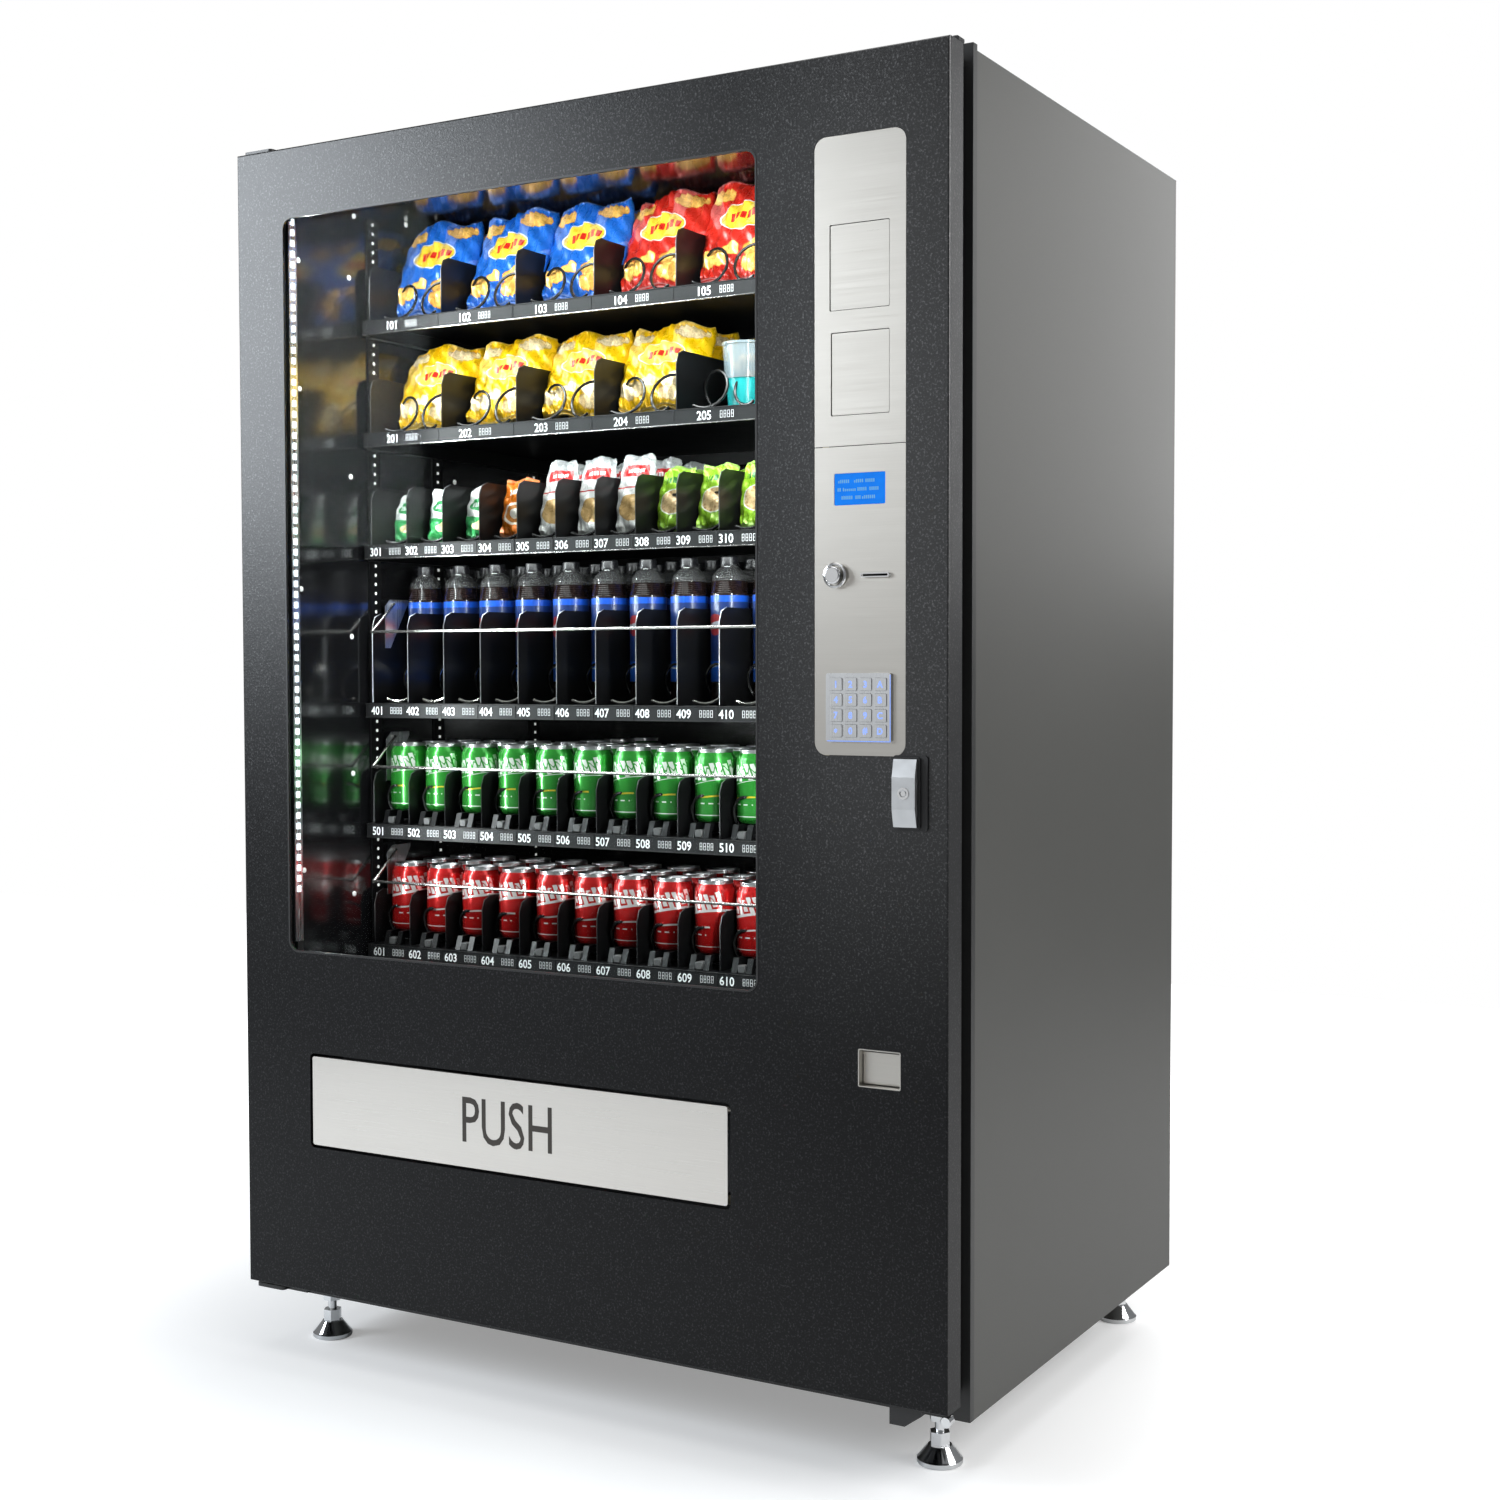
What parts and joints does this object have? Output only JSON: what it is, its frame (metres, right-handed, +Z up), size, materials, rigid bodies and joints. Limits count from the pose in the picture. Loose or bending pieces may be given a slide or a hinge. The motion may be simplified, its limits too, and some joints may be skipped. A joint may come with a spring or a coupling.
{
  "type": "drink and snack vending machine",
  "caption": "Free-standing glass-front spiral vending machine with hinged door, sliding product trays, keypad, coin return and delivery flap.",
  "frame": {"origin": "on the floor, under the middle of the machine's overall width and depth", "axes": "+Z up, the door's front face looks towards -Y, +X to the right as seen from the front"},
  "size_m": [1.25, 0.946, 1.95],
  "materials": {
    "cabinet_coat": "fine textured powder coat, warm dark grey",
    "door_coat": "fine textured powder coat, charcoal black",
    "foam": "rigid foam",
    "liner_black": "glossy black sheet",
    "galvanised_steel": "galvanised",
    "bin_plastic": "moulded",
    "compressor_black": "semi gloss enamel",
    "condenser_fins": "finned block",
    "evaporator_alu": "mill finish",
    "hinge_black": "semi gloss",
    "chrome_feet": "polished plating",
    "gasket_rubber": "soft black magnetic gasket",
    "bush_brass": "turned",
    "trim_alu": "anodised",
    "clear_glass": "clear float glass",
    "stainless": "brushed grain, warm white",
    "display_lens": "blue backlit lens",
    "keypad_black": "polished black",
    "keypad_key": "moulded, lit legends",
    "chrome_knob": "polished",
    "satin_steel": "satin cast",
    "tray_coat": "dark grey enamel",
    "spiral_wire": "black coated wire",
    "motor_white": "moulded",
    "rod_steel": "bright drawn rod",
    "can_metal": "printed drink can"
  },
  "bodies": {
    "cabinet": {"cabinet_shell": "cabinet_coat", "rear_grille": "cabinet_coat", "front_frame": "cabinet_coat", "insulation": "foam", "inner_liner": "liner_black", "tray_supports": "galvanised_steel", "delivery_bin": "bin_plastic", "compressor": "compressor_black", "condenser": "condenser_fins", "evaporator": "evaporator_alu", "control_box": "galvanised_steel", "hinge_brackets": "hinge_black", "levelling_feet": "chrome_feet", "foot_nuts": "chrome_feet", "foot_sockets": "hinge_black"},
    "door": {"door_skin": "door_coat", "door_core": "liner_black", "door_gasket": "gasket_rubber", "hinge_bushes": "bush_brass", "window_trim": "trim_alu", "window_glass": "clear_glass", "led_strip": "trim_alu", "upper_panel": "stainless", "blank_covers": "stainless", "bill_validator": "bin_plastic", "lower_panel": "stainless", "display": "display_lens", "coin_mech": "bin_plastic", "keypad_body": "keypad_black", "lock_housing": "bin_plastic", "coin_cup": "stainless"},
    "keypad_keys": {"keypad_keys": "keypad_key"},
    "coin_return_button": {"coin_return_button": "chrome_knob"},
    "lock_handle": {"lock_handle": "satin_steel"},
    "key_cylinder": {"key_cylinder": "chrome_knob"},
    "coin_flap": {"coin_flap": "stainless"},
    "delivery_flap": {"delivery_flap": "stainless"},
    "vend_spiral": {"vend_spiral": "spiral_wire"},
    "vend_cans": {"vend_cans": "can_metal"},
    "tray_1": {"tray_1": "tray_coat", "spirals_1": "spiral_wire", "motors_1": "motor_white"},
    "tray_2": {"tray_2": "tray_coat", "spirals_2": "spiral_wire", "motors_2": "motor_white"},
    "tray_3": {"tray_3": "tray_coat", "spirals_3": "spiral_wire", "motors_3": "motor_white"},
    "tray_4": {"tray_4": "tray_coat", "spirals_4": "spiral_wire", "motors_4": "motor_white"},
    "tray_5": {"tray_5": "tray_coat", "spirals_5": "spiral_wire", "motors_5": "motor_white"},
    "tray_6": {"tray_6": "tray_coat", "spirals_6": "spiral_wire", "motors_6": "motor_white"},
    "guard_rod_4": {"guard_rod_4": "rod_steel"},
    "guard_rod_5": {"guard_rod_5": "rod_steel"},
    "guard_rod_6": {"guard_rod_6": "rod_steel"}
  },
  "joints": [
    {"name": "door_hinge", "type": "hinge", "parent": "cabinet", "child": "door", "pos_m": [-0.609, -0.427, 0.116], "axis": [0, 0, -1], "range_deg": [0, 110]},
    {"name": "delivery_flap_hinge", "type": "hinge", "parent": "door", "child": "delivery_flap", "pos_m": [-0.1, -0.447, 0.492], "axis": [1, 0, 0], "range_deg": [0, 75]},
    {"name": "coin_flap_hinge", "type": "hinge", "parent": "door", "child": "coin_flap", "pos_m": [0.5235, -0.443, 0.592], "axis": [1, 0, 0], "range_deg": [0, 45]},
    {"name": "coin_return_press", "type": "slide", "parent": "door", "child": "coin_return_button", "axis": [0, 1, 0], "range_m": [0, 0.004]},
    {"name": "keypad_press", "type": "slide", "parent": "door", "child": "keypad_keys", "axis": [0, 1, 0], "range_m": [0, 0.001]},
    {"name": "lock_handle_turn", "type": "hinge", "parent": "door", "child": "lock_handle", "pos_m": [0.566, -0.457, 0.9495], "axis": [0, -1, 0], "range_deg": [0, 90]},
    {"name": "key_turn", "type": "hinge", "parent": "lock_handle", "child": "key_cylinder", "pos_m": [0.566, -0.457, 0.9495], "axis": [0, -1, 0], "range_deg": [0, 90]},
    {"name": "tray_1_slide", "type": "slide", "parent": "cabinet", "child": "tray_1", "axis": [0, -1, 0], "range_m": [0, 0.14]},
    {"name": "tray_2_slide", "type": "slide", "parent": "cabinet", "child": "tray_2", "axis": [0, -1, 0], "range_m": [0, 0.14]},
    {"name": "tray_3_slide", "type": "slide", "parent": "cabinet", "child": "tray_3", "axis": [0, -1, 0], "range_m": [0, 0.14]},
    {"name": "tray_4_slide", "type": "slide", "parent": "cabinet", "child": "tray_4", "axis": [0, -1, 0], "range_m": [0, 0.14]},
    {"name": "tray_5_slide", "type": "slide", "parent": "cabinet", "child": "tray_5", "axis": [0, -1, 0], "range_m": [0, 0.14]},
    {"name": "tray_6_slide", "type": "slide", "parent": "cabinet", "child": "tray_6", "axis": [0, -1, 0], "range_m": [0, 0.14]},
    {"name": "guard_rod_4_swing", "type": "hinge", "parent": "tray_4", "child": "guard_rod_4", "pos_m": [-0.1057, -0.157, 1.229], "axis": [-1, 0, 0], "range_deg": [0, 75]},
    {"name": "guard_rod_6_swing", "type": "hinge", "parent": "tray_6", "child": "guard_rod_6", "pos_m": [-0.1057, -0.157, 0.803], "axis": [-1, 0, 0], "range_deg": [0, 55]},
    {"name": "vend_spiral_turn", "type": "hinge", "parent": "tray_5", "child": "vend_spiral", "pos_m": [-0.2977, -0.193, 0.8865], "axis": [0, -1, 0], "range_deg": [0, 360]},
    {"name": "vend_cans_feed", "type": "slide", "parent": "tray_5", "child": "vend_cans", "axis": [0, -1, 0], "range_m": [0, 0.0768]},
    {"name": "guard_rod_5_swing", "type": "hinge", "parent": "tray_5", "child": "guard_rod_5", "pos_m": [-0.1057, -0.157, 1], "axis": [-1, 0, 0], "range_deg": [0, 60]}
  ],
  "couplings": [
    {"joint": "vend_spiral_turn", "follows": "vend_cans_feed", "rad_per_m": 81.812},
    {"joint": "guard_rod_5_swing", "follows": "vend_cans_feed", "rad_per_m": 13.181}
  ]
}
